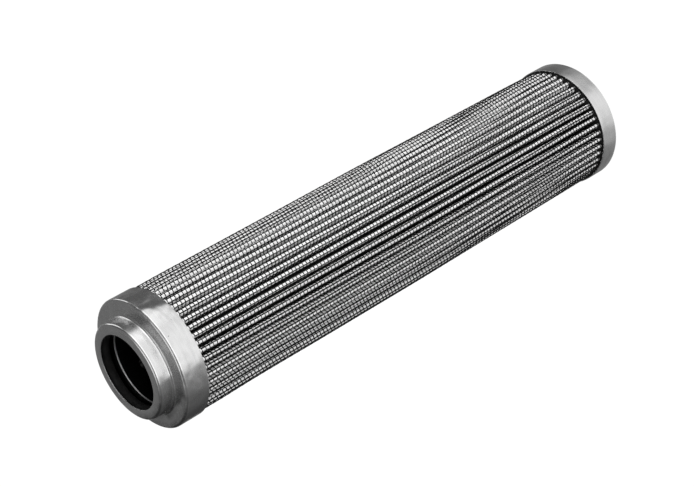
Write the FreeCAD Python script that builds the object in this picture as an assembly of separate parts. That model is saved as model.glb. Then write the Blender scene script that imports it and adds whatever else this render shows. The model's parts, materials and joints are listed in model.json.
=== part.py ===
import FreeCAD, Part
import math
import os

# Pleated filter element for a pressure line, all sizes in millimetres.
# The axis is +Z. The element stands on its closed end at Z = 0, and the neck
# that takes the filter head's spigot opens upwards at Z = LENGTH.

V = FreeCAD.Vector

# ---- driving dimensions ------------------------------------------------------
LENGTH = 219.6          # overall, closed end to neck face
CAP_OR = 23.5           # outside radius of both end caps (47 mm over the caps)
CAP_T = 0.45            # plated steel sheet of the caps

NECK_OR = 17.43         # outside radius of the stepped neck
NECK_LEN = 5.5          # neck face to shoulder face
BORE_R = 13.6           # sheared lip in the neck face
NECK_EDGE_R = 1.15      # pressed rounding of the neck's front edge
NECK_ROOT_R = 0.8       # concave rounding where the neck leaves the shoulder
SHOULDER_R = 1.1        # rounding from shoulder to skirt
OPEN_CAP_LEN = 15.0     # neck face to the skirt's free edge

CLOSED_CAP_LEN = 7.7    # closed face to the rim
CLOSED_EDGE_R = 0.8     # rounding of the closed face's edge

SEAL_D = 3.53           # section of the sealing ring
SEAL_IR = 13.35         # inside radius of the sealing ring
SEAL_S = 2.42           # its centre, below the neck face

RETAINER_IR = 14.2      # flat ring that closes the seal's groove from behind
RETAINER_OR = 22.2
RETAINER_T = 0.6

CORE_OR = 14.8          # perforated centre tube
CORE_T = 0.6
CORE_FOOT = 1.5         # Z of its lower end, standing in the adhesive
HOLE_D = 4.5
HOLES_ROUND = 10
HOLE_ROWS = 26
HOLE_FIRST = 15.0
HOLE_PITCH = 7.6

PLEATS = 50
PACK_OR = 22.9          # over the pleat tips
PACK_FOOT = 3.5         # Z of the lower pleat ends
PACK_TOP_S = 8.5        # upper pleat ends, below the neck face
TIP_R = 0.62            # fold radius of the pack's middle line at a tip
ROOT_R = 0.50           # the same at a root
PACK_CORE_GAP = 0.05    # pleat roots to centre tube
SEAM_AZ = 83.0          # azimuth of the side seam, degrees
SEAM_R = 0.52           # half spacing of the two ends in the seam

# layers, as offsets from the middle line of the pack, outside positive
LAYERS = [
    ("outer_wire_mesh", 0.45, 0.15),
    ("outer_fleece", 0.15, 0.07),
    ("filter_media", 0.07, -0.15),
    ("inner_fleece", -0.15, -0.22),
    ("inner_wire_mesh", -0.22, -0.45),
]
HALF = 0.45             # half the pack's thickness

CLIP_T = 0.25
CLIP_LEG = 3.0

POT_IN_R = 17.5         # the adhesive climbs between the pleats outside this
OPEN_POT_S = 12.0       # lower end of the upper adhesive, below the neck face
BEAD_OR = 23.3          # bead that squeezed out over the lower rim
BEAD_TOP = 9.8

# ---- derived -----------------------------------------------------------------
TOP = LENGTH
TIP_C = PACK_OR - TIP_R - HALF
ROOT_C = CORE_OR + PACK_CORE_GAP + ROOT_R + HALF
SEAM_C = PACK_OR - 0.03 - SEAM_R - HALF - 0.01 - CLIP_T
STEP = 2.0 * math.pi / PLEATS


def polar(r, a):
    return (r * math.cos(a), r * math.sin(a))


def vec(p, z=0.0):
    return V(p[0], p[1], z)


# ---- sheet profiles turned about the axis --------------------------------------
def rounded(points):
    """Edges of a closed outline in the X-Z plane. points: (r, z, radius)."""
    n = len(points)
    cuts = []
    for i, (x, z, r) in enumerate(points):
        if not r:
            cuts.append((V(x, 0, z), None, V(x, 0, z)))
            continue
        p = V(x, 0, z)
        a = V(points[i - 1][0], 0, points[i - 1][1]).sub(p)
        b = V(points[(i + 1) % n][0], 0, points[(i + 1) % n][1]).sub(p)
        a.normalize()
        b.normalize()
        half = math.acos(max(-1.0, min(1.0, a.dot(b)))) / 2.0
        d = r / math.tan(half)
        mid = a.add(b)
        mid.normalize()
        c = p.add(mid.multiply(r / math.sin(half)))
        m = p.sub(c)
        m.normalize()
        m = c.add(m.multiply(r))
        cuts.append((p.add(V(a).multiply(d)), m, p.add(V(b).multiply(d))))
    edges = []
    for i in range(n):
        start, m, end = cuts[i]
        if m is not None:
            edges.append(Part.Arc(start, m, end).toShape())
        nxt = cuts[(i + 1) % n][0]
        if end.sub(nxt).Length > 1e-6:
            edges.append(Part.LineSegment(end, nxt).toShape())
    return edges


def turned(points):
    face = Part.Face(Part.Wire(rounded(points)))
    return face.revolve(V(0, 0, 0), V(0, 0, 1), 360)


def down(s):
    return TOP - s


# ---- pleat outline -------------------------------------------------------------
def flank(c1, r1, c2, r2, first_is_tip):
    """Straight run between a tip circle and a root circle that the line crosses
    between. Returns its direction and left normal."""
    dx, dy = c2[0] - c1[0], c2[1] - c1[1]
    dd = math.hypot(dx, dy)
    s = r1 + r2
    run = math.sqrt(dd * dd - s * s)
    turn = math.atan2(s, run)
    ang = math.atan2(dy, dx) + (turn if first_is_tip else -turn)
    return (math.cos(ang), math.sin(ang)), (-math.sin(ang), math.cos(ang))


def stations():
    """Tips and roots in order round the axis, from the seam back to the seam."""
    out = []
    az = math.radians(SEAM_AZ)
    out.append(("seam", polar(SEAM_C, az), SEAM_R, az))
    for i in range(PLEATS):
        a = az + (i + 0.5) * STEP
        out.append(("root", polar(ROOT_C, a), ROOT_R, a))
        a = az + (i + 1) * STEP
        if i == PLEATS - 1:
            out.append(("seam", polar(SEAM_C, a), SEAM_R, a))
        else:
            out.append(("tip", polar(TIP_C, a), TIP_R, a))
    return out


ST = stations()
RUNS = []
for k in range(len(ST) - 1):
    tip_first = ST[k][0] != "root"
    RUNS.append(flank(ST[k][1], ST[k][2], ST[k + 1][1], ST[k + 1][2], tip_first))


def touch(k, which, d):
    """Point of the outline offset by d where run k leaves ('a') or meets ('b')."""
    idx = k if which == "a" else k + 1
    kind, c, r, _ = ST[idx]
    n = RUNS[k][1]
    if kind == "root":
        q = r - d
        return (c[0] + q * n[0], c[1] + q * n[1])
    q = r + d
    return (c[0] - q * n[0], c[1] - q * n[1])


def outline(d):
    """Edges of the pleated line at offset d, open at the seam."""
    edges = []
    for k in range(len(RUNS)):
        p, q = touch(k, "a", d), touch(k, "b", d)
        edges.append(Part.LineSegment(vec(p), vec(q)).toShape())
        if k + 1 < len(RUNS):
            kind, c, r, a = ST[k + 1]
            nxt = touch(k + 1, "a", d)
            if kind == "root":
                m = polar(math.hypot(c[0], c[1]) - (r - d), a)
            else:
                m = polar(math.hypot(c[0], c[1]) + (r + d), a)
            edges.append(Part.Arc(vec(q), vec(m), vec(nxt)).toShape())
    return edges


def strip(d1, d2, z0, z1):
    """One pleated layer between two offsets, with its two ends in the seam."""
    last = len(RUNS) - 1
    e1, e2 = outline(d1), outline(d2)
    ends = [
        Part.LineSegment(vec(touch(last, "b", d1)), vec(touch(last, "b", d2))).toShape(),
        Part.LineSegment(vec(touch(0, "a", d2)), vec(touch(0, "a", d1))).toShape(),
    ]
    wire = Part.Wire(Part.__sortEdges__(e1 + [ends[0]] + e2 + [ends[1]]))
    solid = Part.Face(wire).extrude(V(0, 0, z1 - z0))
    solid.translate(V(0, 0, z0))
    return solid


def clip_profile():
    """U-shaped strip over the two ends of the pack: both legs follow the flanks."""
    last = len(RUNS) - 1
    d_in, d_out = HALF + 0.01, HALF + 0.01 + CLIP_T
    u0, ul = RUNS[0][0], RUNS[last][0]

    def pts(d):
        a, b = touch(0, "a", d), touch(last, "b", d)
        a2 = (a[0] + u0[0] * CLIP_LEG, a[1] + u0[1] * CLIP_LEG)
        b2 = (b[0] - ul[0] * CLIP_LEG, b[1] - ul[1] * CLIP_LEG)
        m = polar(SEAM_C + SEAM_R + d, math.radians(SEAM_AZ))
        return a2, a, m, b, b2

    i, o = pts(d_in), pts(d_out)
    seg = Part.LineSegment
    edges = [
        seg(vec(i[0]), vec(i[1])).toShape(),
        Part.Arc(vec(i[1]), vec(i[2]), vec(i[3])).toShape(),
        seg(vec(i[3]), vec(i[4])).toShape(),
        seg(vec(i[4]), vec(o[4])).toShape(),
        seg(vec(o[4]), vec(o[3])).toShape(),
        Part.Arc(vec(o[3]), vec(o[2]), vec(o[1])).toShape(),
        seg(vec(o[1]), vec(o[0])).toShape(),
        seg(vec(o[0]), vec(i[0])).toShape(),
    ]
    return Part.Face(Part.Wire(edges))


def pleat_block(z0, z1):
    """Everything inside the pack's outer outline, the clip included."""
    last = len(RUNS) - 1
    edges = outline(HALF)
    a, b = touch(0, "a", HALF), touch(last, "b", HALF)
    m = polar(SEAM_C + SEAM_R + HALF, math.radians(SEAM_AZ))
    edges.append(Part.Arc(vec(b), vec(m), vec(a)).toShape())
    body = Part.Face(Part.Wire(Part.__sortEdges__(edges))).extrude(V(0, 0, z1 - z0))
    clip = clip_profile().extrude(V(0, 0, z1 - z0))
    gap = Part.Face(Part.Wire([
        Part.Arc(vec(a), vec(m), vec(b)).toShape(),
        Part.LineSegment(vec(b), vec(a)).toShape(),
    ])).extrude(V(0, 0, z1 - z0))
    block = body.fuse([clip, gap]).removeSplitter()
    block.translate(V(0, 0, z0))
    return block


# ---- the pieces ------------------------------------------------------------------
parts = {}

# Open end cap: one pressing with a stepped neck, a flat shoulder and a skirt.
t = CAP_T
parts["open_end_cap"] = turned([
    (BORE_R, down(0), 0),
    (NECK_OR, down(0), NECK_EDGE_R),
    (NECK_OR, down(NECK_LEN), NECK_ROOT_R),
    (CAP_OR, down(NECK_LEN), SHOULDER_R),
    (CAP_OR, down(OPEN_CAP_LEN), 0.12),
    (CAP_OR - t, down(OPEN_CAP_LEN), 0),
    (CAP_OR - t, down(NECK_LEN + t), SHOULDER_R - t),
    (NECK_OR - t, down(NECK_LEN + t), NECK_ROOT_R + t),
    (NECK_OR - t, down(t), NECK_EDGE_R - t),
    (BORE_R, down(t), 0),
])

# Closed end cap: a plain shallow cup that the element stands on.
parts["closed_end_cap"] = turned([
    (0, 0, 0),
    (CAP_OR, 0, CLOSED_EDGE_R),
    (CAP_OR, CLOSED_CAP_LEN, 0.12),
    (CAP_OR - t, CLOSED_CAP_LEN, 0),
    (CAP_OR - t, t, CLOSED_EDGE_R - t),
    (0, t, 0),
])

# Sealing ring in the groove between the neck face and the retainer.
parts["o_ring"] = Part.makeTorus(SEAL_IR + SEAL_D / 2, SEAL_D / 2, V(0, 0, down(SEAL_S)), V(0, 0, 1))

# Flat retainer ring under the shoulder; its inner edge is broken.
rs = NECK_LEN + t
parts["seal_retainer"] = turned([
    (RETAINER_IR, down(rs), 0.18),
    (RETAINER_OR, down(rs), 0.1),
    (RETAINER_OR, down(rs + RETAINER_T), 0.1),
    (RETAINER_IR, down(rs + RETAINER_T), 0.1),
])

# Perforated centre tube: staggered rows of round holes.
core_top = down(rs + RETAINER_T)
core = Part.makeCylinder(CORE_OR, core_top - CORE_FOOT, V(0, 0, CORE_FOOT)).cut(
    Part.makeCylinder(CORE_OR - CORE_T, core_top - CORE_FOOT, V(0, 0, CORE_FOOT)))
drills = []
for row in range(HOLE_ROWS):
    z = HOLE_FIRST + row * HOLE_PITCH
    for k in range(HOLES_ROUND):
        a = 2 * math.pi * (k + 0.5 * (row % 2)) / HOLES_ROUND
        drills.append(Part.makeCylinder(
            HOLE_D / 2, 4.0, V((CORE_OR - 2.5) * math.cos(a), (CORE_OR - 2.5) * math.sin(a), z),
            V(math.cos(a), math.sin(a), 0)))
parts["core_tube"] = core.cut(Part.makeCompound(drills))

# Pleated layers, outside to inside.
z0, z1 = PACK_FOOT, down(PACK_TOP_S)
for name, d1, d2 in LAYERS:
    parts[name] = strip(d1, d2, z0, z1)

# Seam clip over the pack's two ends.
clip = clip_profile().extrude(V(0, 0, z1 - z0))
clip.translate(V(0, 0, z0))
parts["seam_clip"] = clip

# Adhesive in the open end: a ring under the retainer, with teeth between pleats.
pot = turned([
    (CORE_OR, down(rs + RETAINER_T), 0),
    (22.5, down(rs + RETAINER_T), 0),
    (CAP_OR - t, down(rs + RETAINER_T + 0.7), 0),
    (CAP_OR - t, down(OPEN_POT_S), 0),
    (POT_IN_R, down(OPEN_POT_S), 0),
    (POT_IN_R, down(PACK_TOP_S), 0),
    (CORE_OR, down(PACK_TOP_S), 0),
])
parts["open_end_potting"] = pot.cut(pleat_block(down(OPEN_POT_S) - 1.0, down(PACK_TOP_S)))

# Adhesive in the closed end: a floor, teeth between the pleats and the bead
# that shows above the rim.
pot = turned([
    (0, t, 0),
    (22.5, t, 0),
    (CAP_OR - t, t + 0.7, 0),
    (CAP_OR - t, CLOSED_CAP_LEN, 0),
    (BEAD_OR, CLOSED_CAP_LEN, 0),
    (BEAD_OR, BEAD_TOP - 0.7, 0),
    (BEAD_OR - 0.35, BEAD_TOP, 0),
    (POT_IN_R, BEAD_TOP, 0),
    (POT_IN_R, PACK_FOOT, 0),
    (CORE_OR, PACK_FOOT, 0),
    (CORE_OR, CORE_FOOT, 0),
    (CORE_OR - CORE_T, CORE_FOOT, 0),
    (CORE_OR - CORE_T, 3.0, 0),
    (0, 3.0, 0),
])
parts["closed_end_potting"] = pot.cut(pleat_block(PACK_FOOT, BEAD_TOP + 1.0))

# ---- write -----------------------------------------------------------------------
os.makedirs("parts", exist_ok=True)
for name, shape in parts.items():
    if shape.ShapeType != "Solid":
        solids = shape.Solids
        shape = solids[0] if len(solids) == 1 else Part.makeCompound(solids)
    if shape.ShapeType == "Solid" and shape.Volume < 0:
        shape = shape.reversed()
    print("%-20s %-9s solids %d valid %s faces %d volume %.1f" % (
        name, shape.ShapeType, len(shape.Solids), shape.isValid(), len(shape.Faces), shape.Volume))
    shape.exportStep(os.path.join("parts", name + ".step"))
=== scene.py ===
import json
import math

import bpy
import numpy as np
from mathutils import Matrix, Vector

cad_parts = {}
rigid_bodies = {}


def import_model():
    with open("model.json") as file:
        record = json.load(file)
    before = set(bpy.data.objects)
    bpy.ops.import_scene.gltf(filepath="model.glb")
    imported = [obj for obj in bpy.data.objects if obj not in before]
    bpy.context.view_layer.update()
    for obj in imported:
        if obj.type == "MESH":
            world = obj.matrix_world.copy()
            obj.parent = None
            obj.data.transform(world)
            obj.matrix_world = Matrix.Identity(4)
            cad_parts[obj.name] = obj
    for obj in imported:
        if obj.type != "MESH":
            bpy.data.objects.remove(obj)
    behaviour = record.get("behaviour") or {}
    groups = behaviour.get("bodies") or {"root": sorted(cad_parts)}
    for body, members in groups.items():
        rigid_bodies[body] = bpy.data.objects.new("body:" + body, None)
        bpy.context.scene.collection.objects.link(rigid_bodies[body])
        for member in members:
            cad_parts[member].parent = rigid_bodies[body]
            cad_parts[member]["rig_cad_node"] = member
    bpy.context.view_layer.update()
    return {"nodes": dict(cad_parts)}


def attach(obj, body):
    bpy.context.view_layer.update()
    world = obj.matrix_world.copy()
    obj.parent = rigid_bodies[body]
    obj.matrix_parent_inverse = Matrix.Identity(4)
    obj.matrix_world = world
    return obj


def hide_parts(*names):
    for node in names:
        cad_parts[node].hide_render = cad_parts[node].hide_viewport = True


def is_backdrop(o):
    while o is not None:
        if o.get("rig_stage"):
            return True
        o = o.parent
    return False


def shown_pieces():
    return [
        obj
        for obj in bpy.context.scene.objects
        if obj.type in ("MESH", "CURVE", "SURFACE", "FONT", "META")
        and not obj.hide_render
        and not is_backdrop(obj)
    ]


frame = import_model()
MM = 0.001
rng = np.random.default_rng(7)

# ------------------------------------------------------------------ sizes, mm
LENGTH = 219.6
CAP_OR, CAP_T = 23.5, 0.45
NECK_OR, NECK_LEN, BORE_R = 17.43, 5.5, 13.6
OPEN_CAP_LEN, CLOSED_CAP_LEN = 15.0, 7.7
PLEATS, PACK_OR = 50, 22.9
TIP_R, ROOT_R, HALF = 0.62, 0.50, 0.45
CORE_OR = 14.8
TIP_C = PACK_OR - TIP_R - HALF
ROOT_C = CORE_OR + 0.05 + ROOT_R + HALF
SEAM_AZ = math.radians(83.0)
STEP = 2 * math.pi / PLEATS
WIRE_PITCH = 1.558
Z_LOW, Z_HIGH = 3.6, LENGTH - 8.6        # pleat ends, inside the adhesive
Z_MID = 0.5 * (CLOSED_CAP_LEN + LENGTH - OPEN_CAP_LEN)
TWIST = math.radians(0.021)              # azimuth per mm of height


# ------------------------------------------------------------------ mesh help
def new_mesh(name, verts, faces, smooth=True, sharp=None):
    """verts (n,3) in mm; faces a list of (m,k) index arrays."""
    me = bpy.data.meshes.new(name)
    verts = np.asarray(verts, np.float64) * MM
    me.vertices.add(len(verts))
    me.vertices.foreach_set("co", verts.astype(np.float32).ravel())
    loops = np.concatenate([np.asarray(f, np.int32).ravel() for f in faces])
    sizes = np.concatenate([np.full(len(f), np.asarray(f).shape[1], np.int32) for f in faces])
    starts = np.concatenate([[0], np.cumsum(sizes)[:-1]]).astype(np.int32)
    me.loops.add(len(loops))
    me.loops.foreach_set("vertex_index", loops)
    me.polygons.add(len(sizes))
    me.polygons.foreach_set("loop_start", starts)
    me.polygons.foreach_set("loop_total", sizes)
    me.update(calc_edges=True)
    me.validate()
    me.polygons.foreach_set("use_smooth", np.full(len(me.polygons), smooth))
    ob = bpy.data.objects.new(name, me)
    bpy.context.scene.collection.objects.link(ob)
    return ob


def lathe(name, profile, n=256, closed=True, wobble=None):
    """Turns a closed profile [(r, z)] about Z. wobble(theta, r, z) -> (r, z)."""
    rz = np.array(profile, float)
    nx = np.roll(rz, -1, 0)
    if np.sum(rz[:, 0] * nx[:, 1] - nx[:, 0] * rz[:, 1]) < 0:
        profile = profile[::-1]             # faces look outward
    p = np.asarray(profile, float)
    m = len(p)
    th = np.linspace(0, 2 * np.pi, n, endpoint=False)
    r = np.repeat(p[None, :, 0], n, 0)
    z = np.repeat(p[None, :, 1], n, 0)
    t = np.repeat(th[:, None], m, 1)
    if wobble is not None:
        r, z = wobble(t, r, z)
    v = np.stack([r * np.cos(t), r * np.sin(t), z], -1).reshape(-1, 3)
    i = np.arange(n)[:, None]
    j = np.arange(m if closed else m - 1)[None, :]
    a = i * m + j
    b = ((i + 1) % n) * m + j
    c = ((i + 1) % n) * m + (j + 1) % m
    d = i * m + (j + 1) % m
    f = np.stack([a, b, c, d], -1).reshape(-1, 4)
    return new_mesh(name, v, [f])


def rounded_profile(points, step=0.12, arc=9):
    """Closed outline with rounded corners: (r, z, radius). Long runs are divided."""
    n = len(points)
    cuts = []
    for i, (x, z, rad) in enumerate(points):
        p = np.array([x, z], float)
        if not rad:
            cuts.append([p])
            continue
        a = np.array(points[i - 1][:2], float) - p
        b = np.array(points[(i + 1) % n][:2], float) - p
        a /= np.linalg.norm(a)
        b /= np.linalg.norm(b)
        half = math.acos(float(np.clip(a @ b, -1, 1))) / 2
        d = rad / math.tan(half)
        mid = (a + b) / np.linalg.norm(a + b)
        c = p + mid * rad / math.sin(half)
        s, e = p + a * d, p + b * d
        t0 = math.atan2(*(s - c)[::-1])
        t1 = math.atan2(*(e - c)[::-1])
        dt = (t1 - t0 + math.pi) % (2 * math.pi) - math.pi
        cuts.append([c + rad * np.array([math.cos(t0 + dt * k / (arc - 1)), math.sin(t0 + dt * k / (arc - 1))]) for k in range(arc)])
    out = []
    for i in range(n):
        out += cuts[i]
        s, e = cuts[i][-1], cuts[(i + 1) % n][0]
        run = np.linalg.norm(e - s)
        k = int(run // step)
        for q in range(1, k):
            out.append(s + (e - s) * q / k)
    return [(float(p[0]), float(p[1])) for p in out]


# ------------------------------------------------------------------ pleat line
D_REF = 0.20                              # offset of the wires' middle surface


class Fold:
    """Half a pleat from tip to root as arc, straight flank, arc; mirrored for x < 0.
    Lengths x run along the line at offset D_REF, offsets d grow outward."""

    def __init__(self, tip_c, tip_r):
        al = math.pi / PLEATS
        self.tr = tip_r
        self.c1 = np.array([tip_c, 0.0])
        self.c2 = np.array([ROOT_C * math.cos(al), ROOT_C * math.sin(al)])
        D = self.c2 - self.c1
        s = tip_r + ROOT_R
        self.run = math.sqrt(float(D @ D) - s * s)
        ang = math.atan2(D[1], D[0]) + math.atan2(s, self.run)
        self.u = np.array([math.cos(ang), math.sin(ang)])
        self.n = np.array([self.u[1], -self.u[0]])        # outward normal of the flank
        self.beta = math.atan2(self.n[1], self.n[0])
        self.x1 = (tip_r + D_REF) * self.beta             # end of the tip arc
        self.x2 = self.x1 + self.run                      # end of the flank
        self.g_end = (self.beta + math.pi) - (math.pi + al) + 0.0
        self.x3 = self.x2 + (ROOT_R - D_REF) * self.g_end

    def at(self, x, d):
        x = np.asarray(x, float)
        d = np.asarray(d, float) + 0 * x
        sg = np.where(x < 0, -1.0, 1.0)
        ax = np.abs(x)
        b = np.clip(ax / (self.tr + D_REF), 0, self.beta)
        px = self.c1[0] + (self.tr + d) * np.cos(b)
        py = self.c1[1] + (self.tr + d) * np.sin(b)
        nx, ny = np.cos(b), np.sin(b)
        w = ax - self.x1
        on = w > 0
        px = np.where(on, self.c1[0] + (self.tr + d) * self.n[0] + self.u[0] * w, px)
        py = np.where(on, self.c1[1] + (self.tr + d) * self.n[1] + self.u[1] * w, py)
        nx, ny = np.where(on, self.n[0], nx), np.where(on, self.n[1], ny)
        over = ax > self.x2
        ga = self.beta + math.pi - (ax - self.x2) / (ROOT_R - D_REF)
        rx = self.c2[0] + (ROOT_R - d) * np.cos(ga)
        ry = self.c2[1] + (ROOT_R - d) * np.sin(ga)
        px, py = np.where(over, rx, px), np.where(over, ry, py)
        nx, ny = np.where(over, -np.cos(ga), nx), np.where(over, -np.sin(ga), ny)
        return np.stack([px, py * sg], -1), np.stack([nx, ny * sg], -1)

    def stops(self, tip, flank, root):
        """Sheet columns: x values with the given number of steps in each stretch."""
        half = np.concatenate([
            np.linspace(0, self.x1, tip + 1),
            self.x1 + self.run * np.linspace(0, 1, flank + 1)[1:] ** 1.3,
            np.linspace(self.x2, self.x3, root + 1)[1:],
        ])
        return np.concatenate([-half[::-1], half[1:]])


FOLD = Fold(TIP_C, TIP_R)
SEAM = Fold(PACK_OR - 0.03 - 0.52 - HALF - 0.01 - 0.25, 0.52)


def local(x, d):
    return FOLD.at(x, d)


# small irregularities of the hand-fed pack: per pleat, zero at the roots
SLANT = 1.1                               # mm the tips stand to one side of their roots
lean = rng.normal(0, 0.10, PLEATS)
lift = rng.normal(0, 0.05, PLEATS)
slip = rng.normal(0, 0.10, PLEATS)
wave_a = rng.normal(0, 0.05, (PLEATS, 3))
wave_p = rng.uniform(0, 2 * np.pi, (PLEATS, 3))
wave_k = np.array([1.0, 2.3, 4.1]) * 2 * np.pi / 200.0

# the pleats that the photo shows: degrees each tip stands back from its even place,
# and where its wires lie across the fold, in parts of the wire pitch
SEEN = {
    15: (3.1, 0.50), 16: (3.2, 0.50), 17: (3.3, 0.50), 18: (3.4, -0.10), 19: (2.8, 0.00), 20: (1.7, 0.05),
    21: (1.4, 0.03), 22: (0.7, -0.15),
    23: (0.5, -0.20), 24: (0.2, -0.10), 25: (0.1, -0.20), 26: (0.8, 0.15), 27: (0.6, 0.15), 28: (0.2, 0.10),
    29: (-0.2, 0.10), 30: (-1.0, -0.20), 31: (-1.9, -0.38), 32: (-3.0, 0.40), 33: (-3.1, 0.42),
    34: (-3.2, 0.05), 35: (-3.2, 0.00), 36: (-3.2, 0.00), 37: (-3.2, 0.00), 38: (-3.1, 0.50), 39: (-3.0, 0.50),
    14: (2.8, 0.50), 13: (2.4, 0.50),
}
back = np.interp(np.arange(PLEATS) + PLEATS * (np.arange(PLEATS) < 13), [13, 39, 63], [0, -3.0, 2.4])
stand = np.array([SEEN[i][0] if i in SEEN else back[i] for i in range(PLEATS)])
slip = np.array([SEEN[i][1] if i in SEEN else 3.0 * slip[i] for i in range(PLEATS)])
lean = np.array([0.0 if i in SEEN else lean[i] for i in range(PLEATS)])
wave_a = wave_a * 0.4


def swell(z, i):
    """How far the tips stand out of a true cylinder at height z: the banded pack is not even."""
    s = (LENGTH - z) / 23.0
    out = 0.06 + 0.12 * np.exp(-((s - 5.1) / 0.95) ** 2) + 0.14 * np.exp(-((s - 0.8) / 0.5) ** 2)
    if 12 <= i <= 19:
        out = out - 0.20 * np.exp(-((s - 1.9) / 0.9) ** 2)
    return out


def phase(i, z):
    """Where the wires of pleat i lie across its fold, mm: the cloth runs a little askew."""
    s = np.clip((LENGTH - z) / 23.0845, 0, 8.6)
    q = 0.068 * np.clip(s - 4.2, 0, 9) ** 2 - 0.05 * np.exp(-((s - 2.6) / 1.2) ** 2)
    if 34 <= i <= 37:
        q = q + 0.4 * np.clip((s - 4.9) / 0.8, 0, 1)
    if i in (13, 14, 15, 38, 39):
        q = 0 * q                           # a wire runs along these tips
    return WIRE_PITCH * (slip[i] + q)


def place(i, pts, z, nrm=None):
    """Local pleat points (..., 2) of pleat i at heights z -> world xyz (mm)."""
    r, t = pts[..., 0], pts[..., 1]
    w = np.clip((r - (ROOT_C + 1.0)) / (PACK_OR - ROOT_C - 1.0), 0, 1)
    w = w * w * (3 - 2 * w)
    h = (z - Z_MID) / (0.5 * (LENGTH - OPEN_CAP_LEN - CLOSED_CAP_LEN))
    bulge = 0.20 * np.clip(1 - h * h, 0, 1)
    ends = np.clip((1 - np.abs(h)) * 6, 0, 1)
    sway = sum(wave_a[i, k] * np.sin(wave_k[k] * z + wave_p[i, k]) for k in range(3))
    r2 = r + w * (bulge + (lift[i] + swell(z, i)) * ends)
    t2 = t + w * (lean[i] + sway) * ends + SLANT * np.clip((r - 16.3) / (PACK_OR - 16.3), 0, 1.1)
    off = np.radians(stand[i]) * np.clip((r - 16.3) / (PACK_OR - 16.3), 0, 1.1)
    az = SEAM_AZ + i * STEP + TWIST * (np.minimum(z, 203.0) - 190.0) - SLANT / 22.2 - off
    ca, sa = np.cos(az), np.sin(az)
    xyz = np.stack([r2 * ca - t2 * sa, r2 * sa + t2 * ca, z + 0 * r2], -1)
    if nrm is None:
        return xyz
    nx, ny = nrm[..., 0], nrm[..., 1]
    nn = np.stack([nx * ca - ny * sa, nx * sa + ny * ca, 0 * nx + 0 * ca], -1)
    tt = np.stack([-nn[..., 1], nn[..., 0], 0 * nn[..., 0]], -1)
    return xyz, nn, tt


# ------------------------------------------------------------------ wire cloth
WIRE_W = 0.25                            # half width of a coated wire
WIRE_H = 0.21                             # half height of the rings
WARP_H = 0.15                             # the lengthways wires lie flatter
WEAVE = 0.04
RING_X = np.array([-4.1, -3.1, -2.3, -1.6, -1.0, -0.5, 0.0, 0.5, 1.0, 1.6, 2.3, 3.1, 4.1])
WARP_X = WIRE_PITCH * np.array([-2.5, -1.5, -0.5, 0.5, 1.5, 2.5])
RING_FIRST = 8.80 - WIRE_PITCH            # the first ring is in the adhesive
N_RINGS = int((LENGTH - 13.0 - RING_FIRST) / WIRE_PITCH)
RING_Z = RING_FIRST + WIRE_PITCH * np.arange(N_RINGS)
UP = np.array([0.0, 0.0, 1.0])


def full(i, z):
    """0 where the coating lies flat, 1 where the wires stand round."""
    f = np.interp(i, [0, 15.5, 16.5, 18, 20.5, 37, 38, 41, PLEATS], [0.3, 0.4, 1.2, 1.1, 0, 0, 0.9, 0.3, 0.3])
    if 35 <= i <= 38:
        f = np.maximum(f, 0.9 * np.clip(((LENGTH - z) / 23.0845 - 5.8) / 0.8, 0, 1))
    return f + 0 * z


def tube_faces(n_paths, n_pts, sides=3):
    """Closed tubes: quads round the wall and a face at each end."""
    p = np.arange(n_paths)[:, None, None] * n_pts * sides
    i = np.arange(n_pts - 1)[None, :, None]
    k = np.arange(sides)[None, None, :]
    a = p + i * sides + k
    b = p + i * sides + (k + 1) % sides
    c = p + (i + 1) * sides + (k + 1) % sides
    d = p + (i + 1) * sides + k
    walls = np.stack([a, b, c, d], -1).reshape(-1, 4)
    p = np.arange(n_paths)[:, None] * n_pts * sides
    k = np.arange(sides)[None, :]
    start = (p + k)[:, ::-1]
    end = p + (n_pts - 1) * sides + k
    return walls, np.concatenate([start, end], 0)


def ring_height(i, z):
    """The rings run on from pleat to pleat, so their height drifts round the pack."""
    return z + 0.08 * np.sin(0.04 * z + 0.9 * i) + ring_shift[i]


def ring_wires(name, pleats):
    V, paths = [], 0
    nx = len(RING_X)
    for i in pleats:
        if i == 0:
            continue                        # the seam, under its clip
        x = np.repeat(RING_X[None, :], N_RINGS, 0)
        par = (-1.0) ** np.arange(N_RINGS)[:, None]
        d = D_REF + WEAVE * par * np.sin(np.pi * (x - phase(i, RING_Z)[:, None]) / WIRE_PITCH)
        pts, nrm = local(x, d)
        zz = ring_height(i, np.repeat(RING_Z[:, None], nx, 1))
        c, nn, tt = place(i, pts, zz, nrm)
        f = full(i, RING_Z)[:, None, None]
        top, wide = WIRE_H + 0.04 * f, WIRE_W + 0.04 * f
        sec = [c + nn * top, c - nn * 0.12 - UP * wide, c - nn * 0.12 + UP * wide]
        V.append(np.stack(sec, 2).reshape(-1, 3))
        paths += N_RINGS
    walls, ends = tube_faces(paths, nx)
    return new_mesh(name, np.concatenate(V), [walls, ends])


def warp_wires(name, pleats):
    V, paths = [], 0
    n = N_RINGS
    k = np.arange(n)
    for i in pleats:
        if i == 0:
            continue
        for m, x0 in enumerate(WARP_X):
            d = D_REF - WEAVE * (-1.0) ** (k + m - 3)
            pts, nrm = local(x0 + phase(i, RING_Z), d)
            c, nn, tt = place(i, pts, ring_height(i, RING_Z), nrm)
            f = full(i, RING_Z)[:, None]
            top, wide = WARP_H + 0.11 * f, WIRE_W + 0.08 * f
            sec = [c + nn * top, c - nn * 0.1 + tt * wide, c - nn * 0.1 - tt * wide]
            V.append(np.stack(sec, 1).reshape(-1, 3))
            paths += 1
    walls, ends = tube_faces(paths, n)
    return new_mesh(name, np.concatenate(V), [walls, ends])


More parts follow.
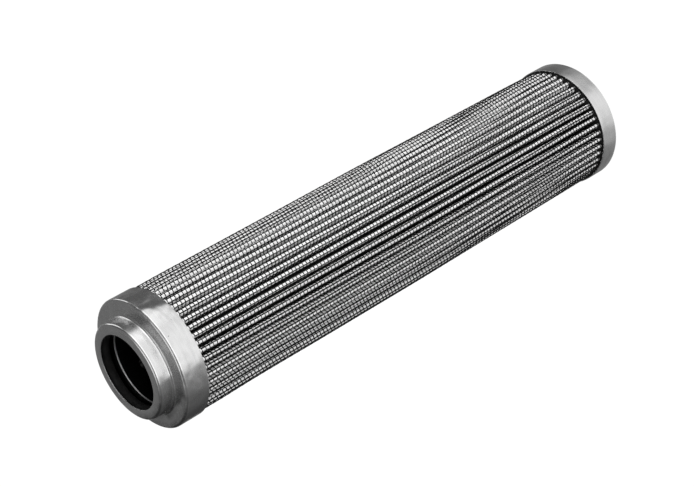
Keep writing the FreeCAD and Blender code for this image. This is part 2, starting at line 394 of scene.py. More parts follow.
# the rings run on from pleat to pleat, so their height drifts slowly round the pack
drift = np.cumsum(rng.normal(0, 0.05, PLEATS))
drift -= np.linspace(0, drift[-1], PLEATS)
ring_shift = drift


# ------------------------------------------------------------------ materials
def mat(name):
    m = bpy.data.materials.new(name)
    m.use_nodes = True
    nt = m.node_tree
    nt.nodes.clear()
    out = nt.nodes.new("ShaderNodeOutputMaterial")
    bsdf = nt.nodes.new("ShaderNodeBsdfPrincipled")
    nt.links.new(bsdf.outputs["BSDF"], out.inputs["Surface"])
    return m, nt, bsdf


def node(nt, kind, **kw):
    n = nt.nodes.new(kind)
    for k, v in kw.items():
        if k in n.inputs:
            n.inputs[k].default_value = v
        else:
            setattr(n, k, v)
    return n


def ramp(nt, src, stops, interp="LINEAR"):
    r = nt.nodes.new("ShaderNodeValToRGB")
    r.color_ramp.interpolation = interp
    el = r.color_ramp.elements
    while len(el) < len(stops):
        el.new(0.5)
    for e, (p, c) in zip(el, stops):
        e.position = p
        e.color = (c, c, c, 1) if isinstance(c, (int, float)) else (*c, 1)
    nt.links.new(src, r.inputs["Fac"])
    return r


def math_node(nt, op, a, b=None, clamp=False):
    n = nt.nodes.new("ShaderNodeMath")
    n.operation = op
    n.use_clamp = clamp
    for i, v in enumerate((a, b)):
        if v is None:
            continue
        if isinstance(v, (int, float)):
            n.inputs[i].default_value = v
        else:
            nt.links.new(v, n.inputs[i])
    return n.outputs[0]


def cylinder_coords(nt, around=1.0, along=1.0, out=1.0):
    """Vector (angle*around, z*along, radius*out) from object coordinates, metres."""
    tc = nt.nodes.new("ShaderNodeTexCoord")
    sep = nt.nodes.new("ShaderNodeSeparateXYZ")
    nt.links.new(tc.outputs["Object"], sep.inputs[0])
    x, y, z = sep.outputs
    ang = math_node(nt, "ARCTAN2", y, x)
    r = math_node(nt, "SQRT", math_node(nt, "ADD", math_node(nt, "MULTIPLY", x, x), math_node(nt, "MULTIPLY", y, y)))
    comb = nt.nodes.new("ShaderNodeCombineXYZ")
    nt.links.new(math_node(nt, "MULTIPLY", ang, around), comb.inputs[0])
    nt.links.new(math_node(nt, "MULTIPLY", z, along), comb.inputs[1])
    nt.links.new(math_node(nt, "MULTIPLY", r, out), comb.inputs[2])
    return comb.outputs[0], tc, (x, y, z, ang, r)


def plated_steel(name, base=0.75, rough=0.24, streak=0.05, spots=True, dent=0.0006):
    m, nt, b = mat(name)
    b.inputs["Metallic"].default_value = 1.0
    vec, tc, (x, y, z, ang, r) = cylinder_coords(nt, 2.2, 900.0, 900.0)
    st = node(nt, "ShaderNodeTexNoise", Scale=1.0, Detail=6.0, Roughness=0.6)
    nt.links.new(vec, st.inputs["Vector"])
    cloud = node(nt, "ShaderNodeTexNoise", Scale=140.0, Detail=4.0, Roughness=0.55)
    nt.links.new(tc.outputs["Object"], cloud.inputs["Vector"])
    fine = node(nt, "ShaderNodeTexNoise", Scale=1600.0, Detail=3.0, Roughness=0.6)
    nt.links.new(tc.outputs["Object"], fine.inputs["Vector"])
    mix = math_node(nt, "ADD", math_node(nt, "MULTIPLY", st.outputs["Fac"], 0.45), math_node(nt, "MULTIPLY", cloud.outputs["Fac"], 0.55))
    col = ramp(nt, mix, [(0.30, base * 0.86), (0.50, base), (0.72, min(1.0, base * 1.10))])
    nt.links.new(col.outputs["Color"], b.inputs["Base Color"])
    if spots:
        sp = node(nt, "ShaderNodeTexVoronoi", Scale=420.0, Randomness=1.0)
        nt.links.new(tc.outputs["Object"], sp.inputs["Vector"])
        near = ramp(nt, sp.outputs["Distance"], [(0.05, 0.0), (0.12, 1.0)])
        gate = node(nt, "ShaderNodeTexNoise", Scale=60.0, Detail=2.0)
        nt.links.new(tc.outputs["Object"], gate.inputs["Vector"])
        g = ramp(nt, gate.outputs["Fac"], [(0.60, 1.0), (0.68, 0.0)])
        both = math_node(nt, "MAXIMUM", near.outputs["Color"], g.outputs["Color"])
        mm = nt.nodes.new("ShaderNodeMix")
        mm.data_type = "RGBA"
        nt.links.new(both, mm.inputs["Factor"])
        mm.inputs["A"].default_value = (base * 0.45, base * 0.45, base * 0.45, 1)
        nt.links.new(col.outputs["Color"], mm.inputs["B"])
        nt.links.new(mm.outputs["Result"], b.inputs["Base Color"])
    rr = ramp(nt, mix, [(0.30, rough * 1.35), (0.55, rough), (0.80, rough * 0.8)])
    nt.links.new(rr.outputs["Color"], b.inputs["Roughness"])
    bump = node(nt, "ShaderNodeBump", Strength=streak, Distance=0.0002)
    hsum = math_node(nt, "ADD", math_node(nt, "MULTIPLY", st.outputs["Fac"], 0.7), math_node(nt, "MULTIPLY", fine.outputs["Fac"], 0.3))
    nt.links.new(hsum, bump.inputs["Height"])
    wide = node(nt, "ShaderNodeTexNoise", Scale=110.0, Detail=2.0, Roughness=0.35)
    nt.links.new(tc.outputs["Object"], wide.inputs["Vector"])
    dents = node(nt, "ShaderNodeBump", Strength=1.0, Distance=dent)
    skirt = ramp(nt, math_node(nt, "MULTIPLY", r, 1000.0 / 25.0), [(22.7 / 25, 0.0), (23.2 / 25, 1.0)])
    upper = ramp(nt, math_node(nt, "MULTIPLY", z, 4.0), [(0.5, 0.0), (0.6, 1.0)])
    turn = math_node(nt, "MULTIPLY", math_node(nt, "ADD", ang, math.pi), 0.5 / math.pi)
    side = ramp(nt, turn, [(0.30, 0.15), (0.37, 1.0), (0.43, 1.0), (0.50, 0.15)])
    worn = math_node(nt, "MULTIPLY", math_node(nt, "MULTIPLY", skirt.outputs["Color"], upper.outputs["Color"]), side.outputs["Color"])
    deep = math_node(nt, "ADD", math_node(nt, "MULTIPLY", worn, 2.2), 1.0)
    nt.links.new(math_node(nt, "MULTIPLY", math_node(nt, "SUBTRACT", wide.outputs["Fac"], 0.5), deep), dents.inputs["Height"])
    nt.links.new(bump.outputs["Normal"], dents.inputs["Normal"])
    nt.links.new(dents.outputs["Normal"], b.inputs["Normal"])
    return m


def rubber():
    m, nt, b = mat("seal_rubber")
    b.inputs["Specular IOR Level"].default_value = 0.05
    vec, tc, _ = cylinder_coords(nt, 6.0, 700.0, 700.0)
    n1 = node(nt, "ShaderNodeTexNoise", Scale=1.0, Detail=5.0)
    nt.links.new(vec, n1.inputs["Vector"])
    n2 = node(nt, "ShaderNodeTexNoise", Scale=900.0, Detail=3.0)
    nt.links.new(tc.outputs["Object"], n2.inputs["Vector"])
    col = ramp(nt, n1.outputs["Fac"], [(0.3, 0.003), (0.7, 0.007)])
    nt.links.new(col.outputs["Color"], b.inputs["Base Color"])
    rr = ramp(nt, n2.outputs["Fac"], [(0.3, 0.62), (0.7, 0.78)])
    nt.links.new(rr.outputs["Color"], b.inputs["Roughness"])
    bump = node(nt, "ShaderNodeBump", Strength=0.08, Distance=0.0001)
    nt.links.new(n2.outputs["Fac"], bump.inputs["Height"])
    nt.links.new(bump.outputs["Normal"], b.inputs["Normal"])
    return m


def epoxy_wire():
    m, nt, b = mat("coated_wire")
    tc = nt.nodes.new("ShaderNodeTexCoord")
    n1 = node(nt, "ShaderNodeTexNoise", Scale=700.0, Detail=3.0)
    nt.links.new(tc.outputs["Object"], n1.inputs["Vector"])
    col = ramp(nt, n1.outputs["Fac"], [(0.3, 0.012), (0.62, 0.019), (0.80, 0.034)])
    nt.links.new(col.outputs["Color"], b.inputs["Base Color"])
    rr = ramp(nt, n1.outputs["Fac"], [(0.3, 0.42), (0.7, 0.58)])
    nt.links.new(rr.outputs["Color"], b.inputs["Roughness"])
    b.inputs["Specular IOR Level"].default_value = 0.10
    return m


def fleece(name="fleece", deep=True):
    m, nt, b = mat(name)
    b.inputs["Specular IOR Level"].default_value = 0.1
    b.inputs["Roughness"].default_value = 0.9
    vec, tc, (x, y, z, ang, r) = cylinder_coords(nt, 1.0, 1.0, 1.0)
    fib = node(nt, "ShaderNodeTexNoise", Scale=2600.0, Detail=5.0, Roughness=0.7, Distortion=1.5)
    nt.links.new(tc.outputs["Object"], fib.inputs["Vector"])
    blot = node(nt, "ShaderNodeTexNoise", Scale=260.0, Detail=3.0)
    nt.links.new(tc.outputs["Object"], blot.inputs["Vector"])
    mix = math_node(nt, "ADD", math_node(nt, "MULTIPLY", fib.outputs["Fac"], 0.5), math_node(nt, "MULTIPLY", blot.outputs["Fac"], 0.5))
    col = ramp(nt, mix, [(0.32, 0.74), (0.50, 0.86), (0.68, 0.93)])
    last = col.outputs["Color"]
    if deep:
        # painted shade: towards the fold roots the layer is darkened by radius, partly for the black wire that covers
        # it there and partly for the shade deep in the valleys
        d = ramp(nt, math_node(nt, "MULTIPLY", r, 1000.0 / 25.0), [(19.4 / 25, 0.22), (21.1 / 25, 1.0)])
        mm = nt.nodes.new("ShaderNodeMix")
        mm.data_type = "RGBA"
        mm.blend_type = "MULTIPLY"
        mm.inputs["Factor"].default_value = 1.0
        nt.links.new(last, mm.inputs["A"])
        nt.links.new(d.outputs["Color"], mm.inputs["B"])
        last = mm.outputs["Result"]
    if deep:
        # adhesive drawn into the last cells at the closed end
        wob = node(nt, "ShaderNodeTexNoise", Scale=420.0, Detail=2.0)
        nt.links.new(tc.outputs["Object"], wob.inputs["Vector"])
        edge = math_node(nt, "ADD", math_node(nt, "MULTIPLY", z, 1000.0 / 20.0), math_node(nt, "MULTIPLY", wob.outputs["Fac"], 0.06))
        st = ramp(nt, edge, [(8.2 / 20 + 0.03, 0.12), (9.0 / 20 + 0.03, 1.0)])
        m2 = nt.nodes.new("ShaderNodeMix")
        m2.data_type = "RGBA"
        m2.blend_type = "MULTIPLY"
        m2.inputs["Factor"].default_value = 1.0
        nt.links.new(last, m2.inputs["A"])
        nt.links.new(st.outputs["Color"], m2.inputs["B"])
        last = m2.outputs["Result"]
    nt.links.new(last, b.inputs["Base Color"])
    bump = node(nt, "ShaderNodeBump", Strength=0.35, Distance=0.0001)
    nt.links.new(fib.outputs["Fac"], bump.inputs["Height"])
    nt.links.new(bump.outputs["Normal"], b.inputs["Normal"])
    return m


def wire_cloth():
    """Flat stand-in look of the inner cloth: black wires over cells kept near black, by position; the dark cells are
    painted shade for the inside of the core.
    """
    m, nt, b = mat("inner_wire_cloth")
    tc = nt.nodes.new("ShaderNodeTexCoord")
    sep = nt.nodes.new("ShaderNodeSeparateXYZ")
    nt.links.new(tc.outputs["Object"], sep.inputs[0])
    x, y, z = sep.outputs
    r = math_node(nt, "SQRT", math_node(nt, "ADD", math_node(nt, "MULTIPLY", x, x), math_node(nt, "MULTIPLY", y, y)))
    zz = math_node(nt, "PINGPONG", math_node(nt, "DIVIDE", z, WIRE_PITCH * MM), 0.5)
    rr = math_node(nt, "PINGPONG", math_node(nt, "DIVIDE", r, WIRE_PITCH * MM), 0.5)
    lo = math_node(nt, "MINIMUM", zz, rr)
    # painted shade: cells only 0.05, so the cloth seen inside the core reads dark
    col = ramp(nt, lo, [(0.12, 0.004), (0.17, 0.05)])
    n1 = node(nt, "ShaderNodeTexNoise", Scale=1800.0, Detail=3.0)
    nt.links.new(tc.outputs["Object"], n1.inputs["Vector"])
    mm = nt.nodes.new("ShaderNodeMix")
    mm.data_type = "RGBA"
    mm.blend_type = "MULTIPLY"
    mm.inputs["Factor"].default_value = 1.0
    nt.links.new(col.outputs["Color"], mm.inputs["A"])
    nt.links.new(ramp(nt, n1.outputs["Fac"], [(0.3, 0.7), (0.7, 1.0)]).outputs["Color"], mm.inputs["B"])
    nt.links.new(mm.outputs["Result"], b.inputs["Base Color"])
    b.inputs["Roughness"].default_value = 0.6
    bump = node(nt, "ShaderNodeBump", Strength=0.8, Distance=0.0002)
    nt.links.new(ramp(nt, lo, [(0.0, 1.0), (0.17, 0.0)]).outputs["Color"], bump.inputs["Height"])
    nt.links.new(bump.outputs["Normal"], b.inputs["Normal"])
    return m


def retainer():
    """Ring painted near black as painted shade for the deep seal groove; only a thin band at its inner edge is bright
    steel, where the highlight line falls.
    """
    m, nt, b = mat("retainer_steel")
    b.inputs["Metallic"].default_value = 1.0
    vec, tc, (x, y, z, ang, r) = cylinder_coords(nt, 3.0, 500.0, 900.0)
    n1 = node(nt, "ShaderNodeTexNoise", Scale=1.0, Detail=5.0)
    nt.links.new(vec, n1.inputs["Vector"])
    n2 = node(nt, "ShaderNodeTexNoise", Scale=500.0, Detail=3.0)
    nt.links.new(tc.outputs["Object"], n2.inputs["Vector"])
    edge = math_node(nt, "ADD", math_node(nt, "MULTIPLY", r, 1000.0 / 20.0), math_node(nt, "MULTIPLY", n2.outputs["Fac"], 0.004))
    # painted shade: the ring's face is near black for the shade deep in the seal groove
    painted_groove_shade = ramp(nt, n1.outputs["Fac"], [(0.3, 0.004), (0.7, 0.010)])
    bright = ramp(nt, n1.outputs["Fac"], [(0.3, 0.92), (0.7, 1.0)])
    sel = ramp(nt, edge, [(14.56 / 20, 1.0), (14.64 / 20, 0.0)])
    mm = nt.nodes.new("ShaderNodeMix")
    mm.data_type = "RGBA"
    nt.links.new(sel.outputs["Color"], mm.inputs["Factor"])
    nt.links.new(painted_groove_shade.outputs["Color"], mm.inputs["A"])
    nt.links.new(bright.outputs["Color"], mm.inputs["B"])
    nt.links.new(mm.outputs["Result"], b.inputs["Base Color"])
    nt.links.new(ramp(nt, n1.outputs["Fac"], [(0.3, 0.3), (0.7, 0.45)]).outputs["Color"], b.inputs["Roughness"])
    bump = node(nt, "ShaderNodeBump", Strength=0.05, Distance=0.0002)
    nt.links.new(n1.outputs["Fac"], bump.inputs["Height"])
    nt.links.new(bump.outputs["Normal"], b.inputs["Normal"])
    return m


def adhesive():
    m, nt, b = mat("adhesive")
    tc = nt.nodes.new("ShaderNodeTexCoord")
    n1 = node(nt, "ShaderNodeTexNoise", Scale=300.0, Detail=5.0)
    nt.links.new(tc.outputs["Object"], n1.inputs["Vector"])
    n2 = node(nt, "ShaderNodeTexNoise", Scale=1100.0, Detail=3.0)
    nt.links.new(tc.outputs["Object"], n2.inputs["Vector"])
    col = ramp(nt, n1.outputs["Fac"], [(0.3, 0.002), (0.7, 0.006)])
    nt.links.new(col.outputs["Color"], b.inputs["Base Color"])
    rr = ramp(nt, n1.outputs["Fac"], [(0.3, 0.45), (0.7, 0.70)])
    nt.links.new(rr.outputs["Color"], b.inputs["Roughness"])
    b.inputs["Specular IOR Level"].default_value = 0.12
    bump = node(nt, "ShaderNodeBump", Strength=0.25, Distance=0.0003)
    nt.links.new(n2.outputs["Fac"], bump.inputs["Height"])
    nt.links.new(bump.outputs["Normal"], b.inputs["Normal"])
    return m


def dark_steel():
    # painted shade: the core is near-black steel so the inside of the bore reads as shade
    m, nt, b = mat("core_steel")
    b.inputs["Metallic"].default_value = 1.0
    vec, tc, _ = cylinder_coords(nt, 14.0, 60.0, 60.0)
    n1 = node(nt, "ShaderNodeTexNoise", Scale=3.0, Detail=5.0)
    nt.links.new(vec, n1.inputs["Vector"])
    col = ramp(nt, n1.outputs["Fac"], [(0.3, 0.010), (0.7, 0.022)])
    nt.links.new(col.outputs["Color"], b.inputs["Base Color"])
    rr = ramp(nt, n1.outputs["Fac"], [(0.3, 0.5), (0.7, 0.68)])
    nt.links.new(rr.outputs["Color"], b.inputs["Roughness"])
    bump = node(nt, "ShaderNodeBump", Strength=0.1, Distance=0.0003)
    nt.links.new(n1.outputs["Fac"], bump.inputs["Height"])
    nt.links.new(bump.outputs["Normal"], b.inputs["Normal"])
    return m


def set_mat(ob, m):
    ob.data.materials.clear()
    ob.data.materials.append(m)


M_CAP = plated_steel("end_cap_steel")
M_RET = retainer()
M_CLIP = plated_steel("clip_steel", 0.5, 0.35, 0.05, False)
M_RUB = rubber()
M_WIRE = epoxy_wire()
M_FLEECE = fleece()
M_INNER = fleece("inner_fleece", False)
M_MEDIA = fleece("glass_fibre", False)
M_INWIRE = wire_cloth()
M_POT = adhesive()
M_CORE = dark_steel()

nodes = frame["nodes"]
for n, m in {
    "core_tube": M_CORE, "open_end_potting": M_POT,
}.items():
    set_mat(nodes[n], m)

# ------------------------------------------------------------------ visible pieces
ring_parts, warp_parts = [], []
groups = [list(range(k, min(k + 13, PLEATS))) for k in range(0, PLEATS, 13)]
for gi, g in enumerate(groups):
    o = ring_wires("weft_wires_%d" % (gi + 1), g)
    set_mat(o, M_WIRE)
    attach(o, "root")
    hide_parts("outer_wire_mesh")
    ring_parts.append(o)
for gi, g in enumerate([list(range(0, 25)), list(range(25, 50))]):
    o = warp_wires("warp_wires_%d" % (gi + 1), g)
    set_mat(o, M_WIRE)
    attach(o, "root")
    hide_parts("outer_wire_mesh")
    warp_parts.append(o)


def sheet(name, d1, d2, rows, tip, flank, root):
    """One pleated layer from offset d1 (outside) to d2, all round, ends in the seam."""
    zs = np.concatenate([[Z_LOW], np.linspace(7.5, LENGTH - 14.5, rows - 1), [Z_HIGH]])
    skins = []
    for d in (d1, d2):
        cols = []
        for i in list(range(1, PLEATS)) + [0]:
            fold = SEAM if i == 0 else FOLD
            xs = fold.stops(tip, flank, root)
            if i == 0:
                xs = xs[xs <= 1e-9]
            elif i > 1:
                xs = xs[1:]
            pts, nrm = fold.at(np.repeat(xs[None, :], len(zs), 0), d)
            cols.append(place(i, pts, np.repeat(zs[:, None], len(xs), 1)))
        first = SEAM.stops(tip, flank, root)
        first = first[first >= -1e-9][:-1]
        pts, nrm = SEAM.at(np.repeat(first[None, :], len(zs), 0), d)
        cols.insert(0, place(0, pts, np.repeat(zs[:, None], len(first), 1)))
        skins.append(np.concatenate(cols, 1))
    nz, nx = skins[0].shape[:2]
    V = np.concatenate([skins[0].reshape(-1, 3), skins[1].reshape(-1, 3)])
    k = nz * nx
    a = (np.arange(nz - 1)[:, None] * nx + np.arange(nx - 1)[None, :])
    f1 = np.stack([a, a + 1, a + nx + 1, a + nx], -1).reshape(-1, 4)
    f2 = f1[:, ::-1] + k
    i = np.arange(nx - 1)
    bot = np.stack([i + 1, i, i + k, i + 1 + k], -1)
    top = np.stack([i, i + 1, i + 1 + k, i + k], -1) + (nz - 1) * nx
    j = np.arange(nz - 1) * nx
    s0 = np.stack([j, j + nx, j + nx + k, j + k], -1)
    s1 = np.stack([j + nx, j, j + k, j + nx + k], -1) + nx - 1
    return new_mesh(name, V, [f1, f2, bot, top, s0, s1])


for name, d1, d2, rows, st, m, slot, old in (
    ("fleece_sheet", 0.14, 0.08, 22, (5, 3, 2), M_FLEECE, "fleece", "outer_fleece"),
    ("glass_fibre_sheet", 0.07, -0.15, 9, (3, 2, 2), M_MEDIA, "glass_fibre", "filter_media"),
    ("inner_fleece_sheet", -0.16, -0.22, 9, (3, 2, 2), M_INNER, "fleece", "inner_fleece"),
    ("inner_wire_sheet", -0.23, -0.45, 9, (3, 2, 2), M_INWIRE, "wire_cloth", "inner_wire_mesh"),
):
    o = sheet(name, d1, d2, rows, *st)
    set_mat(o, m)
    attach(o, "root")
    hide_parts(old)


def clip_strip():
    """U-shaped strip over the two ends of the cloth pack, along the seam."""
    zs = np.concatenate([[Z_LOW], np.linspace(8, LENGTH - 15, 24), [Z_HIGH]])
    end = SEAM.x1 + 3.0
    half = np.concatenate([np.linspace(0, SEAM.x1, 7), [SEAM.x1 + 1.2, SEAM.x1 + 2.4, end]])
    xs = np.concatenate([-half[::-1], half[1:]])
    line = []
    for d, xx in ((HALF + 0.26, xs), (HALF + 0.02, xs[::-1])):
        pts, nrm = SEAM.at(np.repeat(xx[None, :], len(zs), 0), d)
        line.append(place(0, pts, np.repeat(zs[:, None], len(xx), 1)))
    loop = np.concatenate(line, 1)
    nz, m = loop.shape[:2]
    i = np.arange(nz - 1)[:, None] * m
    j = np.arange(m)[None, :]
    f = np.stack([i + j, i + (j + 1) % m, i + m + (j + 1) % m, i + m + j], -1).reshape(-1, 4)
    h = m // 2
    q = np.arange(h - 1)
    cap0 = np.stack([q + 1, q, m - 1 - q, m - 2 - q], -1)
    cap1 = cap0[:, ::-1] + (nz - 1) * m
    o = new_mesh("seam_clip_strip", loop.reshape(-1, 3), [f, cap0, cap1])
    return o


o = clip_strip()
set_mat(o, M_CLIP)
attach(o, "root")
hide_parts("seam_clip")

# caps, turned from their true sections
t = CAP_T
H = LENGTH


def dn(s):
    return H - s


prof = rounded_profile([
    (BORE_R, dn(0), 0.10),
    (NECK_OR, dn(0), 1.0),
    (NECK_OR, dn(NECK_LEN - 0.02), 0.95),
    (CAP_OR, dn(NECK_LEN + 0.24), 1.05),
    (CAP_OR, dn(OPEN_CAP_LEN), 0.14),
    (CAP_OR - t, dn(OPEN_CAP_LEN), 0.10),
    (CAP_OR - t, dn(NECK_LEN + 0.24 + t), 1.05 - t),
    (NECK_OR - t, dn(NECK_LEN - 0.02 + t), 0.95 + t),
    (NECK_OR - t, dn(t), 1.0 - t),
    (BORE_R, dn(t), 0.10),
], step=2.0)


def cap_wobble(th, r, z):
    k = (0.012 * np.sin(3 * th + 0.6) + 0.008 * np.sin(7 * th + 2.0) + 0.005 * np.sin(13 * th + z * 0.8))
    return r - np.abs(k) * (r > NECK_OR + 1.0), z


o = lathe("open_end_cap_pressing", prof, n=200, wobble=cap_wobble)
set_mat(o, M_CAP)
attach(o, "root")
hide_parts("open_end_cap")

prof = rounded_profile([
    (0.02, 0, 0),
    (CAP_OR, 0, 0.8),
    (CAP_OR, CLOSED_CAP_LEN, 0.14),
    (CAP_OR - t, CLOSED_CAP_LEN, 0.10),
    (CAP_OR - t, t, 0.8 - t),
    (0.02, t, 0),
], step=2.0)
o = lathe("closed_end_cap_pressing", prof, n=200, wobble=cap_wobble)
set_mat(o, M_CAP)
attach(o, "root")
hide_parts("closed_end_cap")

# seal
sc, sr, sz = 13.35 + 3.53 / 2, 3.53 / 2, dn(2.42)
prof = [(sc - sr * math.cos(q), sz + sr * math.sin(q)) for q in np.linspace(0, 2 * np.pi, 48, endpoint=False)][::-1]
o = lathe("o_ring_moulded", prof, n=120)
set_mat(o, M_RUB)
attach(o, "root")
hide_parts("o_ring")

# retainer ring
rs = NECK_LEN + t
prof = rounded_profile([(14.2, dn(rs), 0.36), (22.2, dn(rs), 0.1), (22.2, dn(rs + 0.6), 0.1), (14.2, dn(rs + 0.6), 0.10)], step=1.0)
o = lathe("seal_retainer_ring", prof, n=120)
set_mat(o, M_RET)
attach(o, "root")
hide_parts("seal_retainer")


# adhesive bead at the closed end: low on the pleat tips, drawn up between them
def bead():
    prof = rounded_profile([
        (0.02, t, 0), (CAP_OR - t, t, 0.5), (CAP_OR - t, CLOSED_CAP_LEN + 0.02, 0),
        (23.2, CLOSED_CAP_LEN + 0.02, 0), (23.2, 7.84, 0.1), (22.4, 7.90, 0.2), (21.7, 8.25, 0.2), (20.4, 9.1, 0.5),
        (17.5, 9.75, 0), (17.5, 3.5, 0), (14.8, 3.5, 0), (14.8, 1.5, 0), (14.2, 1.5, 0), (14.2, 3.0, 0), (0.02, 3.0, 0),
    ], step=1.4, arc=4)
    idx = np.arange(-2, PLEATS + 3)
    tips = SEAM_AZ + TWIST * (8.0 - 190.0) + idx * STEP - np.radians(stand[idx % PLEATS])

    def wob(th, r, z):
        top = np.clip((z - 7.76) / 0.12, 0, 1) * (r > 17.6)
        turn = np.where(th < tips[1], th + 2 * np.pi, th)
        tooth = 0.5 - 0.5 * np.cos(2 * np.pi * np.interp(turn, tips, idx))
        slow = 0.10 * np.sin(5 * th + 1) + 0.08 * np.sin(17 * th) + 0.05 * np.sin(41 * th + 2)
        z2 = z + top * (0.8 * tooth * np.clip((23.1 - r) / 0.9, 0, 1) + slow * np.clip((22.9 - r) / 0.8, 0, 1))
        side = (z > CLOSED_CAP_LEN) & (r > 22.8)
        r2 = np.where(side, r - 0.05 + 0.05 * np.sin(9 * th + 2 * z) * np.cos(23 * th), r)
        return r2, z2
    return lathe("closed_end_bead", prof, n=350, wobble=wob)


o = bead()
set_mat(o, M_POT)
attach(o, "root")
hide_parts("closed_end_potting")

# ------------------------------------------------------------------ stage
fm = bpy.data.meshes.new("studio_floor")
S = 6.0
fm.from_pydata([(-S, -S, -0.0002), (S, -S, -0.0002), (S, S, -0.0002), (-S, S, -0.0002)], [], [(0, 1, 2, 3)])
floor = bpy.data.objects.new("studio_floor", fm)
bpy.context.scene.collection.objects.link(floor)
floor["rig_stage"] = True
m = bpy.data.materials.new("studio_floor")
m.use_nodes = True
nt = m.node_tree
nt.nodes.clear()
out = nt.nodes.new("ShaderNodeOutputMaterial")
em = node(nt, "ShaderNodeEmission", Strength=0.98)
df = node(nt, "ShaderNodeBsdfDiffuse")
df.inputs["Color"].default_value = (0.05, 0.05, 0.05, 1)
add = nt.nodes.new("ShaderNodeAddShader")
nt.links.new(em.outputs[0], add.inputs[0])
nt.links.new(df.outputs[0], add.inputs[1])
nt.links.new(add.outputs[0], out.inputs["Surface"])
fm.materials.append(m)
floor.visible_glossy = False
floor.visible_diffuse = False
floor.visible_shadow = False
floor.visible_transmission = False

# studio light: a world of soft panels, given by direction
w = bpy.data.worlds.new("studio")
bpy.context.scene.world = w
w.use_nodes = True
w.cycles_visibility.diffuse = False       # the steel mirrors it; the cloth has its own lamps below
nt = w.node_tree
nt.nodes.clear()
wo = nt.nodes.new("ShaderNodeOutputWorld")
bg = nt.nodes.new("ShaderNodeBackground")
nt.links.new(bg.outputs[0], wo.inputs["Surface"])
tc = nt.nodes.new("ShaderNodeTexCoord")
sep = nt.nodes.new("ShaderNodeSeparateXYZ")
nt.links.new(tc.outputs["Generated"], sep.inputs[0])
dx, dy, dz = sep.outputs


def wmath(op, a, b=None, clamp=False):
    return math_node(nt, op, a, b, clamp)


# azimuth in degrees measured from the camera's side (-Y): 0 there, positive towards +X
az = wmath("MULTIPLY", wmath("ARCTAN2", dx, wmath("MULTIPLY", dy, -1.0)), 180 / math.pi)
el = wmath("MULTIPLY", wmath("ARCSINE", dz), 180 / math.pi)


def soft_step(v, lo, hi):
    n = nt.nodes.new("ShaderNodeMapRange")
    n.interpolation_type = "SMOOTHSTEP"
    nt.links.new(v, n.inputs["Value"])
    n.inputs["From Min"].default_value = lo
    n.inputs["From Max"].default_value = hi
    return n.outputs["Result"]


def panel(a0, a1, e0, e1, strength, sa=6.0, se=6.0):
    p = wmath("MULTIPLY", soft_step(az, a0 - sa, a0 + sa), soft_step(az, a1 + sa, a1 - sa))
    q = wmath("MULTIPLY", soft_step(el, e0 - se, e0 + se), soft_step(el, e1 + se, e1 - se))
    return wmath("MULTIPLY", wmath("MULTIPLY", p, q), strength)


total = None
PANELS = [
    # azimuth from the camera's side, elevation, strength, softness of each
    (-47, 76, -35, -4, 0.82, 8, 4),         # broad panel seen in the caps' sides
    (-46, 72, -4, 25, 1.42, 8, 4),          # its upper part is brighter
    (40, 63, -33, 9, 0.24, 4, 4),           # its brighter edge
    (-34, -4, -33, 0, 0.08, 6, 5),
    (-40, 30, -60, -35, 0.62, 8, 4),        # its lower part is narrower
    (30, 90, -60, -35, 0.18, 6, 4),
    (-84, -40, -60, -33, 0.22, 8, 4),
    (-30, 72, 25, 64, 0.08, 10, 4),         # dim above: the dark line in the caps' edges
    (96, 138, -3, 15, 1.25, 4, 4),          # small lamp on the left, in the neck's edges
    (166, 200, -40, 6, 0.5, 6, 4),          # a panel behind, for the far side
    (-200, -166, -40, 6, 0.5, 6, 4),
    (-180, 180, 67, 90, 0.85, 1, 5),        # above the open end
    (-180, 180, -90, -62, 0.8, 1, 6),       # below the closed end
]
for p in PANELS:
    v = panel(*p)
    total = v if total is None else wmath("ADD", total, v)
# surroundings: even, darker low down on the far right
shade = wmath("MULTIPLY", wmath("MULTIPLY", soft_step(az, -50, -140), soft_step(az, -179, -168)), soft_step(el, 50, 34))
shade = wmath("MULTIPLY", shade, soft_step(el, -44, -34))
high = wmath("MULTIPLY", soft_step(el, -6, 12), -0.025)
left = wmath("MULTIPLY", wmath("MULTIPLY", soft_step(az, 150, 128), soft_step(az, 66, 88)), soft_step(el, 50, 38))
low = wmath("MULTIPLY", soft_step(el, -36, -42), 0.07)
base = wmath("ADD", wmath("ADD", wmath("MULTIPLY", shade, -0.14), 0.185), wmath("ADD", high, wmath("ADD", low, wmath("MULTIPLY", left, -0.085))))
total = wmath("ADD", total, base)
comb = nt.nodes.new("ShaderNodeCombineColor")
for k in range(3):
    nt.links.new(total, comb.inputs[k])
nt.links.new(comb.outputs[0], bg.inputs["Color"])
bg.inputs["Strength"].default_value = 1.0

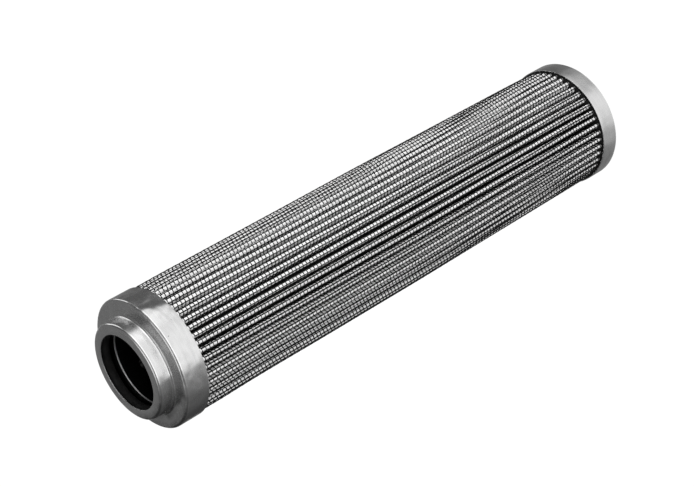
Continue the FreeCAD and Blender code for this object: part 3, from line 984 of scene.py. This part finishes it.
# soft boxes for the matt cloth: they leave no reflection in the steel
def soft_box(name, azim, elev, dist, size, power):
    ld = bpy.data.lights.new(name, "AREA")
    ld.shape = "RECTANGLE"
    ld.size, ld.size_y = size
    ld.energy = power
    ob = bpy.data.objects.new(name, ld)
    bpy.context.scene.collection.objects.link(ob)
    a, e = math.radians(azim), math.radians(elev)
    mid = Vector((0, 0, 0.11))
    way = Vector((math.sin(a) * math.cos(e), -math.cos(a) * math.cos(e), math.sin(e)))
    ob.location = mid + way * dist
    ob.rotation_euler = way.to_track_quat("Z", "Y").to_euler()
    ob.visible_glossy = False
    ob.visible_camera = False
    return ob


for azim, elev, power in (
    (-85, 10, 0.3), (-55, 15, 3.2), (-25, 25, 9.8), (5, 30, 6.6), (35, 25, 9.9), (65, 15, 8.8),
    (165, 25, 14.0), (-160, 25, 14.0), (-125, 20, 3.0), (115, 20, 1.5),
):
    soft_box("soft_box_%d" % azim, azim, elev, 1.5, (0.9, 0.9), power)

# ------------------------------------------------------------------ camera
cam_data = bpy.data.cameras.new("camera")
cam = bpy.data.objects.new("camera", cam_data)
bpy.context.scene.collection.objects.link(cam)
right = Vector((-0.49524019, -0.48495633, -0.72080129))
up = Vector((0.86875609, -0.27645259, -0.41089758))
back = Vector((0.0, -0.82969351, 0.5582192))
pos = Vector((0.96518934, -513.45214, 465.6935993)) * MM
cam.matrix_world = Matrix((
    (right[0], up[0], back[0], pos[0]),
    (right[1], up[1], back[1], pos[1]),
    (right[2], up[2], back[2], pos[2]),
    (0, 0, 0, 1),
))
cam_data.sensor_width = 36.0
cam_data.lens = 1748.956 / 695 * 36
cam_data.clip_start = 0.01
cam_data.clip_end = 20
bpy.context.scene.camera = cam

vs = bpy.context.scene.view_settings
vs.view_transform = "Standard"
vs.look = "None"
vs.exposure = 0.0
vs.gamma = 1.0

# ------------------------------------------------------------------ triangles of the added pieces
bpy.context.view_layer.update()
tris = {}
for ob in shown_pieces():
    if "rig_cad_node" in ob:
        continue
    me = ob.data
    n = np.zeros(len(me.polygons), np.int32)
    me.polygons.foreach_get("loop_total", n)
    tris[ob.name] = int((n - 2).sum())
print("added triangles", tris, "total", sum(tris.values()))
